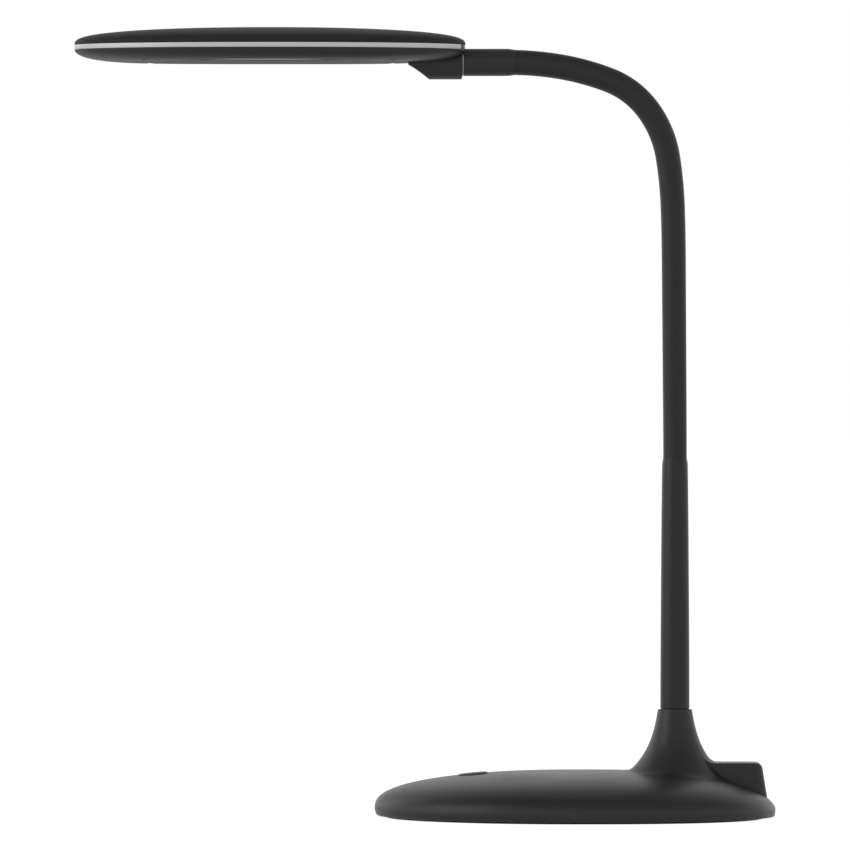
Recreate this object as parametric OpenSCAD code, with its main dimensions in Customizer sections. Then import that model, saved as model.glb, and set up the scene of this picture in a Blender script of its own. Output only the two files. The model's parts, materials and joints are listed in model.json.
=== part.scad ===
// Gooseneck desk lamp with an oval light head and a weighted oval base.
// Millimetres. +Z is up, the desk is Z = 0, +X points to the back and the head hangs over -X.
// The origin is on the desk, under the middle of the base.

/* [Base] */
// Length of the base, front to back
base_len = 200; // [185:1:215]
// Width of the base
base_wid = 150; // [144:1:166]
// Height of the base's crest above the desk
base_top = 23.2; // [22.6:0.1:26]
// Wall of the base housing
base_wall = 2.2; // [1.8:0.1:2.6]
// Gap between the desk and the housing's rim
rim_gap = 1; // [0.6:0.1:1.2]
// Thickness of the anti-slip pad
pad_t = 1.6; // [1.4:0.1:2]
// Thickness of the bottom cover
cover_t = 2.6; // [2.4:0.1:3]
// Distance from the base's back edge to the pole's axis
pole_setback = 50; // [46:1:56]

/* [Cone of the base] */
// Height of the cone's rim above the desk
cone_top = 53.8; // [48:0.1:62]
// Outer radius of the cone's rim
cone_r = 8.3; // [8.2:0.1:9.5]
// Radius of the cone's foot, where it meets the top of the base
cone_foot_r = 22.6; // [20:0.1:25]

/* [Weight] */
// Radius of the steel weight plate
plate_r = 54; // [50:1:57]
// Thickness of the weight plate
plate_t = 6; // [4.5:0.1:6.4]

/* [Touch button] */
// Distance from the base's front edge to the button's axis
button_setback = 49; // [46:1:56]
// Diameter of the dish round the button
dish_d = 36; // [30:1:40]
// Slope of the dish along the base
dish_slope = 5; // [4:0.5:6]
// Diameter of the button
button_d = 15; // [12:0.5:18]
// Travel of the button
button_travel = 0.5; // [0.3:0.1:0.6]

/* [Port housing] */
// Width of the port housing at the back
port_w = 26; // [24:1:34]
// Height of the port housing above the desk
port_top = 27.3; // [25:0.1:30]
// Bore of the power jack
jack_bore = 5.6; // [5.5:0.1:6]

/* [Pole] */
// Height of the pole's top face above the desk
pole_top = 179.5; // [150:0.5:220]
// Diameter of the pole at its foot
pole_d = 14; // [13.4:0.1:14.2]
// Diameter of the pole at its top
pole_top_d = 12.8; // [12.4:0.1:13.2]
// Wall of the pole
pole_wall = 1.2; // [1:0.1:1.4]

/* [Neck] */
// Length of one section of the neck
section_len = 25.3; // [24:0.1:27]
// Outer diameter of the sleeve at the pole
sleeve_d0 = 11.7; // [11.2:0.1:12]
// Outer diameter of the sleeve at the arm collar
sleeve_d1 = 12.4; // [12:0.1:13]
// Inner diameter of the sleeve
sleeve_bore = 9.8; // [9.6:0.1:10]
// Radius of the ball at the end of each link
ball_r = 4; // [3.8:0.1:4.1]
// Outer radius of the cup that holds a ball
cup_r = 4.6; // [4.5:0.05:4.65]
// Bore of the links, for the cable
link_bore = 3.8; // [3.4:0.1:4]
// Diameter of the coil wire that shows on a link
coil_d = 1.9; // [1.6:0.1:2]

/* [Head] */
// Length of the head
head_len = 195.4; // [180:0.2:215]
// Width of the head
head_wid = 100; // [92:1:112]
// Height of the top cover above the trim ring
cover_rise = 8.7; // [8:0.1:10]
// Depth of the lower frame below the trim ring
frame_drop = 6.1; // [5.8:0.1:7.5]
// Height of the trim ring
trim_h = 2.4; // [2:0.1:3]
// Wall of the head's covers
head_wall = 1.8; // [1.4:0.1:2]

/* [Arm joint] */
// Diameter of the arm collar
collar_d = 13.6; // [13:0.1:14.4]
// Length of the arm collar's straight part
collar_len = 21.5; // [20:0.1:26]
// Radius of the arm housing under the head
housing_r = 8.5; // [8:0.1:9]
// Radius of the domed faces at the swivel
dome_r = 28; // [24:0.5:34]
// Thickness of the swivel washer
washer_t = 0.4; // [0.3:0.05:0.6]
// Radius of the swivel stem
stem_r = 3; // [2.8:0.1:3.2]

/* [Hidden] */
SIDES = 64;
// Clearances: a seat that is glued or screwed, a running fit, and a gap between moving outer faces
seat = 0.05;
run = 0.06;
air = 0.3;

// Rest bend of each neck section, in degrees towards the head; the sum turns the neck level
neck_bend = [0, 0, 0, 0, 3, 8, 26, 29, 15, 9];
SECTIONS = len(neck_bend);

// Base, worked out
base_a = base_len / 2;
base_b = base_wid / 2;
// Centre of the crest, the height of the widest line, and the chamfer at the rim
crest_x = -base_a * 0.1;
belt_z = 3.7;
rim_inset = 0.9;
cover_z = rim_gap + cover_t;
pad_recess = pad_t - rim_gap;
plate_z = cover_z + seat;
plate_x = 26;
boss_z = plate_z + plate_t + seat;
screw_x = [plate_x - 36, plate_x + 36];
screw_y = 28;
screw_r = 1.5;
screw_head_r = 2.9;
screw_head_h = 1;
boss_r = 4;

// Pole seat and its nut
pole_x = base_a - pole_setback;
pole_seat_z = 21.5;
ledge_t = 3;
nipple_r = 4;
nipple_bore = 2.6;
pole_washer_t = 1;
pole_washer_r = 7.5;
nut_h = 5;
nut_af = 13;
pole_r0 = pole_d / 2;
pole_r1 = pole_top_d / 2;
pole_cap_t = 3;
pole_cap_r = sleeve_d0 / 2 + 0.1;
spigot_r = 3.4;
spigot_flange_r = 4.4;

// Button stack, measured along the tilted button axis from the dish's rim plane
button_x = -base_a + button_setback;
dish_z = base_top - 1.75;
dish_depth = 0.8;
button_proud = 0.5;
button_skirt_z = -3.4;
button_skirt_t = 1;
button_lip = 1;
guide_r = button_d / 2 + 2.4;
stem_end_z = -6.2;
plunger_r = 1.7;
plunger_h = 0.8 + button_travel;
switch_w = 6.2;
switch_h = 3.4;
board_t = 1.6;
board_l = 46;
board_w = 26;
board_z = stem_end_z - 0.8 - switch_h - seat;
post_dx = 18;
post_r = 3;
board_screw_r = 1.1;
board_screw_head_r = 2;
board_screw_head_h = 1;

// Port housing and jack
port_back_top = base_a - 6.3;
port_back_low = base_a - 4.1;
port_low_z = 11;
port_front = pole_x + 8;
port_round = 2;
port_wall = 2;
jack_z = 17;
jack_w = 9;
jack_l = 12;
jack_x1 = port_back_top - port_wall + 0.1;
jack_nose = 2.3;
jack_nose_r = 3.9;
jack_depth = 9.5;
jack_pin_r = 1;
rib_t = 1.2;

// Neck, worked out
neck_z0 = pole_top - 1.5;
sleeve_r0 = sleeve_d0 / 2;
sleeve_r1 = sleeve_d1 / 2;
link_r = 3.5;
ball_neck_r = 2.9;
ball_neck_len = 3.3;
cup_rim = 1;
cup_len = ball_r + 1.4;
coil_pitch = 2.1;
cable_r = 1.1;

// Head, worked out from the end of the neck
tip = spot(SECTIONS);
tip_x = tip[0];
tip_z = tip[1];
collar_r = collar_d / 2;
collar_start = -3.5;
collar_chamfer = 4;
collar_end = collar_start + collar_chamfer + collar_len;
dome_s = collar_end + washer_t + 2 * seat + dome_r;
head_a = head_len / 2;
head_b = head_wid / 2;
head_x = tidy(tip_x - collar_end - head_a + 0.2);
head_z = tidy(tip_z + 7.45);
head_n = 2.2;
cover_fullness = 3;
trim_gap = seat;
trim_w = 3;
board2_z = head_z + trim_h / 2 + 0.3;
board2_t = 1.2;
window = 0.68;
window_lip = 0.03;
panel_set = 2.3;
tongue_w = 26;
tongue_t = 2.6;
housing_len = 28.5;
housing_round = 1.6;
sleeve_boss_r = 5;
sleeve_boss_len = 12;
stem_len = 15.5;
clip_t = 1;
clip_r = 4.6;
clip_room = stem_len - sleeve_boss_len + 1.2;
head_boss_x = head_a * 0.62;
head_boss_y = head_b * 0.6;
head_boss_r = 3;
head_screw_r = 1.2;

// ---------- curves and lofts ----------

// A length to the nearest thousandth, so that points that meet are equal
function tidy(v) = round(v * 1000) / 1000;

// Sum of the rest bends below section i
function turn(i) = i == 0 ? 0 : turn(i - 1) + neck_bend[i - 1];

// Radius of a section's rest curve
function bend_r(i) = section_len / (neck_bend[i] * PI / 180);

function chord(i) = neck_bend[i] == 0 ? section_len : 2 * bend_r(i) * sin(neck_bend[i] / 2);

// X and Z of the neck's centre line at the start of section i
function spot(i) =
  i == 0 ? [pole_x, neck_z0]
  : let (a = turn(i - 1) + neck_bend[i - 1] / 2) spot(i - 1) + chord(i - 1) * [-sin(a), cos(a)];

// A point on the neck's centre line, s along section i
function on_neck(i, s) =
  let (b = neck_bend[i] * s / section_len, c = neck_bend[i] == 0 ? s : 2 * bend_r(i) * sin(b / 2))
    [spot(i)[0] - c * sin(turn(i) + b / 2), 0, spot(i)[1] + c * cos(turn(i) + b / 2)];

function signed_pow(v, p) = sign(v) * pow(abs(v), p);

// Rise of a dome from its edge (t = 1) to its crest (t = 0)
function dome(t, m, q) = pow(max(0, 1 - pow(t, m)), 1 / q);

// One turn of a superellipse, as X and Y, at SIDES steps
function oval(a, b, n) = [
  for (i = [0 : SIDES - 1]) let (c = cos(360 * i / SIDES), s = sin(360 * i / SIDES))
    [tidy(a * signed_pow(c, 2 / n)), tidy(b * signed_pow(s, 2 / n))]
];

// Plan of the base: an ellipse at the front, squarer at the back
function base_plan(i, a, b) =
  let (c = cos(360 * i / SIDES), s = sin(360 * i / SIDES), n = c > 0 ? 2.5 : 2)
    [a * signed_pow(c, 2 / n), b * signed_pow(s, 2 / n)];

// A ring of the base's dome: t is 1 at the belt and 0 at the crest
function base_ring(t, a, b, top) = [
  for (i = [0 : SIDES - 1])
    let (p = base_plan(i, a, b), back = (1 + cos(360 * i / SIDES)) / 2, m = 2 + back, q = 3 - 0.8 * back)
      [crest_x + t * (p[0] - crest_x), t * p[1], belt_z + (top - belt_z) * dome(t, m, q)]
];

// A level ring of the base below its belt
function base_level(inset, z, a, b) = [
  for (i = [0 : SIDES - 1]) let (p = base_plan(i, a - inset, b - inset)) [p[0], p[1], z]
];

// A level ring of the head
function head_ring(t, z) = [for (p = oval(head_a * t, head_b * t, head_n)) [head_x + p[0], p[1], z]];

// A ring of the lower frame, inset from its outline and dropped below its rim; fuller at the arm's end
function frame_fullness(c) = 4 + 1.25 * (1 + c);
function frame_ring(t, inset, drop) =
  let (plan = oval((head_a - inset) * t, (head_b - inset) * t, head_n))
    [for (i = [0 : SIDES - 1]) [head_x + plan[i][0], plan[i][1],
      frame_top - tidy(drop * dome(t, frame_fullness(cos(360 * i / SIDES)), 2.5))]];

// A ring of the top cover, inset from its outline and raised above its rim
function cover_ring(t, inset, rise) =
  [for (p = oval((head_a - inset) * t, (head_b - inset) * t, head_n))
    [head_x + p[0], p[1], cover_low + tidy(rise * dome(t, 2, cover_fullness))]];

// Stacks rings of equal size, from low to high, into a closed solid
module loft(rings) {
  n = len(rings[0]);
  last = len(rings) - 1;
  low = n * (last + 1);
  points = concat(
    [for (r = rings) each r],
    [[mean(rings[0], 0), mean(rings[0], 1), mean(rings[0], 2)]],
    [[mean(rings[last], 0), mean(rings[last], 1), mean(rings[last], 2)]]
  );
  faces = concat(
    [for (i = [0 : n - 1]) [low, i, (i + 1) % n]],
    [for (i = [0 : n - 1]) [low + 1, n * last + (i + 1) % n, n * last + i]],
    [for (k = [0 : last - 1]) for (i = [0 : n - 1]) [k * n + i, (k + 1) * n + i, (k + 1) * n + (i + 1) % n]],
    [for (k = [0 : last - 1]) for (i = [0 : n - 1]) [k * n + i, (k + 1) * n + (i + 1) % n, k * n + (i + 1) % n]]
  );
  polyhedron(points, faces, convexity = 4);
}

// Stacks rings of equal size into a closed loop, like a tyre
module loft_loop(rings) {
  n = len(rings[0]);
  count = len(rings);
  polyhedron([for (r = rings) each r], concat(
    [for (k = [0 : count - 1]) for (i = [0 : n - 1])
      [k * n + i, ((k + 1) % count) * n + i, ((k + 1) % count) * n + (i + 1) % n]],
    [for (k = [0 : count - 1]) for (i = [0 : n - 1])
      [k * n + i, ((k + 1) % count) * n + (i + 1) % n, k * n + (i + 1) % n]]
  ), convexity = 6);
}

function mean(ring, axis) = [for (p = ring) 1] * [for (p = ring) p[axis]] / len(ring);

// ---------- places ----------

module at_pole() {
  translate([pole_x, 0, 0]) children();
}

// Button axis: local Z = 0 is the plane of the dish's rim
module at_button() {
  translate([button_x, 0, dish_z]) rotate([0, -dish_slope, 0]) children();
}

// Start of neck section i, with local +Z along the neck
module at_section(i) {
  translate([spot(i)[0], 0, spot(i)[1]]) rotate([0, -turn(i), 0]) children();
}

// A place s along section i, with local +Z along the neck
module along(i, s) {
  if (neck_bend[i] == 0) translate([0, 0, s]) children();
  else translate([-bend_r(i), 0, 0]) rotate([0, -neck_bend[i] * s / section_len, 0])
    translate([bend_r(i), 0, 0]) children();
}

// The end of the neck, with local +Z along the arm's axis towards the head
module at_tip() {
  translate([tip_x, 0, tip_z]) rotate([0, -turn(SECTIONS), 0]) children();
}

// A round bar of radius r that follows section i from s0 to s1
module bar(i, r, s0, s1) {
  if (neck_bend[i] == 0) translate([0, 0, s0]) cylinder(h = s1 - s0, r = r, $fn = 48);
  else translate([-bend_r(i), 0, 0]) rotate([90, 0, 0]) rotate([0, 0, neck_bend[i] * s0 / section_len])
    rotate_extrude(angle = neck_bend[i] * (s1 - s0) / section_len, $fn = 96)
      translate([bend_r(i), 0]) circle(r, $fn = 48);
}

module ring_tube(r_out, r_in, h) {
  difference() {
    cylinder(h = h, r = r_out, $fn = 64);
    translate([0, 0, -1]) cylinder(h = h + 2, r = r_in, $fn = 64);
  }
}

function unit(v) = v / norm(v);

// A wire or cable of radius r: an eight-sided tube swept through its points
module wire(points, r) {
  last = len(points) - 1;
  loft([
    for (k = [0 : last])
      let (
        t = unit(points[min(k + 1, last)] - points[max(k - 1, 0)]),
        u = unit(cross(t, [0, 1, 0])),
        v = cross(t, u)
      ) [for (j = [0 : 7]) points[k] + r * (cos(45 * j) * u + sin(45 * j) * v)]
  ]);
}

// A screw with a pan head, point up
module screw(r, len, head_r, head_h) {
  cylinder(h = head_h, r = head_r, $fn = 32);
  translate([0, 0, head_h - 0.01]) cylinder(h = len + 0.01, r = r, $fn = 32);
}

module at_bottom_screws() {
  for (x = screw_x, y = [-screw_y, screw_y]) translate([x, y, 0]) children();
}

module at_board_posts() {
  at_button() for (x = [-post_dx, post_dx]) translate([x, 0, 0]) children();
}

module at_head_bosses() {
  for (x = [-head_boss_x, head_boss_x], y = [-head_boss_y, head_boss_y])
    translate([head_x + x, y, 0]) children();
}

// ---------- base ----------

// Outer radius of the cone at a height: t is 0 at the rim and 1 at the foot
function cone_out(t) = cone_r + (cone_foot_r - cone_r) * (0.32 * t + 0.68 * pow(t, 3));

cone_foot_z = base_top - 0.2;
cone_steps = 12;

module cone_solid(inset, top, low) {
  rotate_extrude($fn = 96)
    polygon(concat(
      [[0, low], [cone_out(1) - inset, low]],
      [for (k = [cone_steps : -1 : 0])
        let (t = k / cone_steps, z = cone_top - t * (cone_top - cone_foot_z))
          if (z <= top) [cone_out(t) - inset, z]],
      [[0, top - (cone_top - cone_foot_z) / cone_steps * (inset > 0 ? 1 : 0)]]
    ));
}

module dome_solid(inset, low) {
  a = base_a - inset;
  b = base_b - inset;
  top = base_top - inset;
  loft(concat(
    inset == 0 ? [base_level(rim_inset, low, a, b), base_level(0, low + rim_inset, a, b)]
      : [base_level(0, low, a, b)],
    [for (k = [10 : -1 : 1]) let (t = sin(9 * k)) base_ring(t, a, b, top)],
    [base_ring(0.05, a, b, top)]
  ));
}

// Side view of the port housing, in X and Z
module port_profile(inset) {
  back_top = port_back_top - inset;
  back_low = port_back_low - inset;
  top = port_top - inset;
  polygon([
    [port_front, port_low_z - 3], [port_front, top], [back_top - port_round, top],
    [back_top - port_round * 0.6, top - port_round * 0.08],
    [back_top - port_round * 0.2, top - port_round * 0.4],
    [back_top + 0.1, top - port_round], [back_low, port_low_z], [back_low, port_low_z - 3]
  ]);
}

module port_solid(inset) {
  w = port_w - 2 * inset;
  translate([0, w / 2, 0]) rotate([90, 0, 0]) linear_extrude(w) port_profile(inset);
}

module base_fittings() {
  // pole tube, screw bosses, button guide, board posts and jack ribs
  at_pole() translate([0, 0, pole_seat_z - ledge_t]) cylinder(h = cone_top, r = cone_r - 0.3, $fn = 64);
  at_bottom_screws() translate([0, 0, boss_z]) cylinder(h = 30, r = boss_r, $fn = 40);
  at_button() translate([0, 0, button_skirt_z]) cylinder(h = 10, r = guide_r, $fn = 64);
  at_board_posts() translate([0, 0, board_z + seat]) cylinder(h = 30, r = post_r, $fn = 32);
  for (y = [-1, 1])
    translate([jack_x1 - jack_l, y * (jack_w / 2 + seat + rib_t / 2) - rib_t / 2, jack_z - jack_w / 2])
      cube([jack_l + 10, rib_t, 20]);
}

module base_shell() {
  color("#2b2b2c") difference() {
    union() {
      dome_solid(0, rim_gap);
      at_pole() cone_solid(0, cone_top, cone_foot_z - 6);
      port_solid(0);
    }
    difference() {
      union() {
        dome_solid(base_wall, rim_gap - 1);
        at_pole() cone_solid(base_wall, cone_top - 10, cone_foot_z - 9);
        port_solid(port_wall);
      }
      base_fittings();
    }
    at_pole() {
      translate([0, 0, pole_seat_z]) cylinder(h = cone_top, r = pole_r0 + seat, $fn = 64);
      translate([0, 0, pole_seat_z - 10]) cylinder(h = 20, r = nipple_r + seat, $fn = 48);
    }
    at_bottom_screws() translate([0, 0, boss_z - 1]) cylinder(h = 8, r = screw_r, $fn = 32);
    at_button() {
      translate([0, 0, -dish_depth]) cylinder(h = 10, r = dish_d / 2, $fn = 96);
      translate([0, 0, button_skirt_z - 1]) cylinder(h = 20, r = button_d / 2 + air / 2, $fn = 64);
    }
    at_board_posts() translate([0, 0, board_z - 1]) cylinder(h = 7, r = board_screw_r, $fn = 24);
    translate([jack_x1 - 1, 0, jack_z]) rotate([0, 90, 0]) cylinder(h = 20, r = jack_nose_r + seat, $fn = 48);
  }
}

// Outline of a flat piece that follows the base's plan
module base_outline(inset) {
  polygon([for (i = [0 : SIDES - 1]) base_plan(i, base_a - inset, base_b - inset)]);
}

pad_inset = base_wall + 3.4;

module bottom_cover() {
  color("#262626") difference() {
    translate([0, 0, rim_gap]) linear_extrude(cover_t) base_outline(base_wall + 0.1);
    translate([0, 0, rim_gap - 1]) linear_extrude(pad_recess + 1) base_outline(pad_inset - 0.1);
    at_bottom_screws() {
      cylinder(h = 20, r = screw_r + 0.2, $fn = 32);
      cylinder(h = pad_t + screw_head_h + 2 * seat, r = screw_head_r + 0.2, $fn = 32);
    }
  }
}

module anti_slip_pad() {
  color("#1c1c1c") linear_extrude(pad_t - seat) base_outline(pad_inset);
}

module weight_plate() {
  color("#77787a") difference() {
    translate([plate_x, 0, plate_z]) cylinder(h = plate_t, r = plate_r, $fn = 128);
    at_bottom_screws() translate([0, 0, plate_z - 1]) cylinder(h = plate_t + 2, r = screw_r + 0.3, $fn = 32);
  }
}

module bottom_screws() {
  color("#8b8c8e") at_bottom_screws() translate([0, 0, pad_t + seat])
    screw(screw_r - seat, boss_z + 5 - pad_t - screw_head_h, screw_head_r, screw_head_h);
}

module power_button() {
  color("#333334") at_button() {
    translate([0, 0, button_skirt_z + button_skirt_t - seat]) {
      difference() {
        cylinder(h = button_proud - button_skirt_z - button_skirt_t + seat, r = button_d / 2, $fn = 96);
        translate([0, 0, button_proud - button_skirt_z - button_skirt_t + seat + 38.6])
          sphere(39, $fn = 96);
      }
    }
    translate([0, 0, button_skirt_z - button_skirt_t - seat])
      cylinder(h = button_skirt_t, r = button_d / 2 + button_lip, $fn = 64);
    translate([0, 0, button_skirt_z - seat - 0.01])
      cylinder(h = button_skirt_t + 0.02, r = button_d / 2, $fn = 64);
    translate([0, 0, stem_end_z]) cylinder(h = -stem_end_z - 3, r = 2.2, $fn = 32);
  }
}

module switch_plunger() {
  color("#1a1a1a") at_button() translate([0, 0, stem_end_z - plunger_h]) cylinder(h = plunger_h, r = plunger_r, $fn = 32);
}

module tact_switch() {
  top = stem_end_z - 0.8;
  color("#9b9c9e") at_button() difference() {
    translate([-switch_w / 2, -switch_w / 2, top - switch_h]) cube([switch_w, switch_w, switch_h]);
    translate([0, 0, top - 2 * button_travel - 0.6]) cylinder(h = 5, r = plunger_r + run, $fn = 32);
  }
}

module control_board() {
  color("#2f5b3c") at_button() difference() {
    translate([-board_l / 2, -board_w / 2, board_z - board_t]) cube([board_l, board_w, board_t]);
    for (x = [-post_dx, post_dx]) translate([x, 0, board_z - 5]) cylinder(h = 10, r = board_screw_r + 0.2, $fn = 24);
  }
}

module board_screws() {
  color("#8b8c8e") at_board_posts() translate([0, 0, board_z - board_t - board_screw_head_h - seat])
    screw(board_screw_r - seat, board_t + 5, board_screw_head_r, board_screw_head_h);
}

module power_jack() {
  color("#161616") translate([jack_x1, 0, jack_z]) difference() {
    union() {
      translate([-jack_l, -jack_w / 2, -jack_w / 2 + seat]) cube([jack_l, jack_w, jack_w - seat]);
      rotate([0, 90, 0]) cylinder(h = jack_nose, r = jack_nose_r, $fn = 48);
    }
    translate([jack_nose - jack_depth, 0, 0]) rotate([0, 90, 0]) cylinder(h = 20, r = jack_bore / 2, $fn = 48);
    translate([-jack_l - 1, 0, 0]) rotate([0, 90, 0]) cylinder(h = 20, r = jack_pin_r + seat, $fn = 24);
  }
}

module jack_pin() {
  color("#b9babc") translate([jack_x1 - jack_l - 2, 0, jack_z]) rotate([0, 90, 0]) {
    cylinder(h = jack_l + jack_nose + 0.4, r = jack_pin_r, $fn = 24);
    translate([0, 0, jack_l + jack_nose + 0.4]) sphere(jack_pin_r, $fn = 24);
  }
}

module power_lead() {
  start = [jack_x1 - jack_l - 2, 0, jack_z];
  end = [button_x + board_l / 2 + 2, 0, 12.4];
  color("#7a1f1f") wire([
    start, start + [-3, 0, 0], start + [-6, 3, -1.5], start + [-10, 9, -4], [pole_x - 4, 14, 12.6],
    [pole_x - 22, 12, 12.4], end + [16, 5, 0], end + [6, 1, 0], end
  ], cable_r);
}

// ---------- pole ----------

module pole() {
  z0 = pole_seat_z + seat;
  z1 = pole_top - collar_chamfer + 1;
  color("#2d2d2e") at_pole() rotate_extrude($fn = 96) polygon([
    [nipple_r + seat, z0], [pole_r0, z0], [pole_r0, cone_top - 1.5], [pole_r0 - 0.45, cone_top - 0.9],
    [pole_r0 - 0.45, cone_top + 0.9], [pole_r0, cone_top + 1.5], [pole_r1, z1], [pole_cap_r, pole_top],
    [spigot_r + seat, pole_top], [spigot_r + seat, pole_top - pole_cap_t],
    [pole_r1 - pole_wall, pole_top - pole_cap_t - 1], [pole_r0 - pole_wall, z0 + 14],
    [nipple_r + seat, z0 + 12]
  ]);
}

module pole_nipple() {
  z0 = pole_seat_z - ledge_t - pole_washer_t - nut_h - 0.3;
  color("#a3a4a6") at_pole() translate([0, 0, z0]) ring_tube(nipple_r, nipple_bore, pole_seat_z + 11 - z0);
}

module pole_washer() {
  color("#a3a4a6") at_pole() translate([0, 0, pole_seat_z - ledge_t - pole_washer_t - seat])
    ring_tube(pole_washer_r, nipple_r + 0.1, pole_washer_t);
}

module pole_nut() {
  color("#8b8c8e") at_pole() translate([0, 0, pole_seat_z - ledge_t - pole_washer_t - nut_h - 2 * seat])
    difference() {
      cylinder(h = nut_h, r = nut_af / 2 / cos(30), $fn = 6);
      translate([0, 0, -1]) cylinder(h = nut_h + 2, r = nipple_r + seat, $fn = 48);
    }
}

module base_cable() {
  low = [pole_x, 0, pole_seat_z - ledge_t - pole_washer_t - nut_h - 0.3];
  end = [button_x + board_l / 2 + 2, -5, 12.4];
  color("#b7b7b4") wire([
    end, end + [6, 0, 0], end + [16, -2, 0], low + [-14, -4, -1.2], low + [-5, -1, -1.25], low + [-2, -0.2, -1.2],
    low + [-0.8, 0, -0.6], low + [0, 0, 1.4], low + [0, 0, 4], [pole_x, 0, neck_z0 - 0.1]
  ], cable_r);
}

// ---------- neck ----------

cable_steps = 3;

module neck_cable() {
  color("#b7b7b4") wire(concat(
    [for (i = [0 : SECTIONS - 1]) for (k = [0 : cable_steps - 1]) on_neck(i, section_len * k / cable_steps)],
    [for (s = [0, collar_end + stem_len]) [tip_x - s, 0, tip_z]]
  ), cable_r);
}

// Rings of the coil wire along section i
module coil(i, s0, s1) {
  for (s = [s0 : coil_pitch : s1])
    along(i, s) rotate_extrude($fn = 48) translate([link_r - 0.15, 0]) circle(coil_d / 2, $fn = 24);
}

// First link: it hangs in the pole's top by a flanged spigot
module neck_foot_link() {
  top = pole_top - neck_z0;
  spigot_z = top - pole_cap_t - 1.5;
  ball_from = section_len - ball_neck_len;
  color("#9a9b9e") at_section(0) difference() {
    union() {
      translate([0, 0, spigot_z]) cylinder(h = top - spigot_z + 0.5, r = spigot_r, $fn = 48);
      translate([0, 0, spigot_z - 2]) cylinder(h = 2.4, r = spigot_flange_r, $fn = 48);
      bar(0, link_r, top + seat, ball_from);
      coil(0, top + coil_d, ball_from - coil_d / 2 - 0.3);
      bar(0, ball_neck_r, ball_from - 0.5, section_len);
      along(0, section_len) sphere(ball_r, $fn = 64);
    }
    translate([0, 0, spigot_z - 3]) cylinder(h = section_len + 20, r = link_bore / 2, $fn = 32);
  }
}

// A middle link: its cup sits on the ball below, and it ends in a ball of its own
module neck_link(i) {
  ball_from = section_len - ball_neck_len;
  color("#9a9b9e") at_section(i) difference() {
    union() {
      translate([0, 0, -cup_rim]) cylinder(h = cup_len + cup_rim, r = cup_r, $fn = 48);
      bar(i, link_r, cup_len - 2, ball_from);
      coil(i, cup_len + coil_d / 2 + 0.1, ball_from - coil_d / 2 - 0.3);
      bar(i, ball_neck_r, ball_from - 0.2, section_len + 0.2);
      along(i, section_len) sphere(ball_r, $fn = 48);
    }
    sphere(ball_r + run, $fn = 48);
    bar(i, link_bore / 2, -0.5, section_len + ball_r + 2);
  }
}

// Last link: its spigot is held in the arm collar
module neck_tip_link() {
  i = SECTIONS - 1;
  color("#9a9b9e") at_section(i) difference() {
    union() {
      translate([0, 0, -cup_rim]) cylinder(h = cup_len + cup_rim, r = cup_r, $fn = 48);
      bar(i, link_r, cup_len - 2, section_len + collar_start - 0.6);
      coil(i, cup_len + coil_d / 2 + 0.1, section_len + collar_start - coil_d);
      bar(i, ball_neck_r, section_len + collar_start - 1, section_len);
      along(i, section_len) {
        translate([0, 0, collar_start + 0.2]) cylinder(h = 8 - collar_start - 0.2, r = spigot_r, $fn = 48);
        translate([0, 0, 6]) cylinder(h = 2, r = spigot_flange_r, $fn = 48);
      }
    }
    sphere(ball_r + run, $fn = 48);
    bar(i, link_bore / 2, -0.5, section_len + 9);
  }
}

// The part of the silicone sleeve that covers section i
module neck_sleeve(i) {
  s0 = i == 0 ? pole_top - neck_z0 + seat : air / 2;
  s1 = i == SECTIONS - 1 ? section_len + collar_start - air / 2 - seat : section_len - air / 2;
  r = sleeve_r0 + (sleeve_r1 - sleeve_r0) * i / (SECTIONS - 1);
  color("#2b2b2c") at_section(i) difference() {
    bar(i, r, s0, s1);
    bar(i, sleeve_bore / 2, s0 - 0.1, s1 + 0.1);
  }
}

// ---------- arm joint ----------

// Centre of the domed faces, on the arm's axis
module at_dome() {
  at_tip() translate([0, 0, dome_s]) children();
}

module arm_collar() {
  color("#29292a") at_tip() difference() {
    rotate_extrude($fn = 96) polygon([
      [0, collar_start], [sleeve_r1, collar_start], [collar_r, collar_start + collar_chamfer],
      [collar_r, collar_end + 1], [0, collar_end + 1]
    ]);
    translate([0, 0, dome_s]) sphere(dome_r + washer_t + 2 * seat, $fn = 128);
    translate([0, 0, collar_start - 1]) cylinder(h = 7.5 - collar_start, r = spigot_r + seat, $fn = 48);
    translate([0, 0, 6 - seat]) cylinder(h = 6, r = spigot_flange_r + seat, $fn = 48);
    translate([0, 0, 8]) cylinder(h = collar_end, r = stem_r + seat, $fn = 48);
    translate([0, 0, 12]) cylinder(h = 4, r = stem_r + 1 + seat, $fn = 48);
  }
}

module swivel_stem() {
  color("#a3a4a6") at_tip() difference() {
    union() {
      translate([0, 0, 12 + seat]) cylinder(h = collar_end + stem_len - 12 - seat, r = stem_r, $fn = 48);
      translate([0, 0, 12 + seat]) cylinder(h = 4 - 2 * seat, r = stem_r + 1, $fn = 48);
    }
    translate([0, 0, 10]) cylinder(h = 60, r = link_bore / 2, $fn = 32);
    translate([0, 0, collar_end + sleeve_boss_len + 1]) ring_tube(stem_r + 2, stem_r - 0.6, clip_t + 2 * seat);
  }
}

module swivel_washer() {
  color("#dcdcda") intersection() {
    at_dome() difference() {
      sphere(dome_r + seat + washer_t, $fn = 128);
      sphere(dome_r + seat, $fn = 128);
    }
    at_tip() translate([0, 0, collar_end - 3]) ring_tube(collar_r - 0.25, stem_r + 0.1, 8);
  }
}

module swivel_clip() {
  color("#7b7c7e") at_tip() translate([0, 0, collar_end + sleeve_boss_len + 1 + seat])
    difference() {
      ring_tube(clip_r, stem_r - 0.6 + seat, clip_t);
      translate([0, -1.2, -1]) cube([10, 2.4, 5]);
    }
}

// ---------- head ----------

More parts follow.
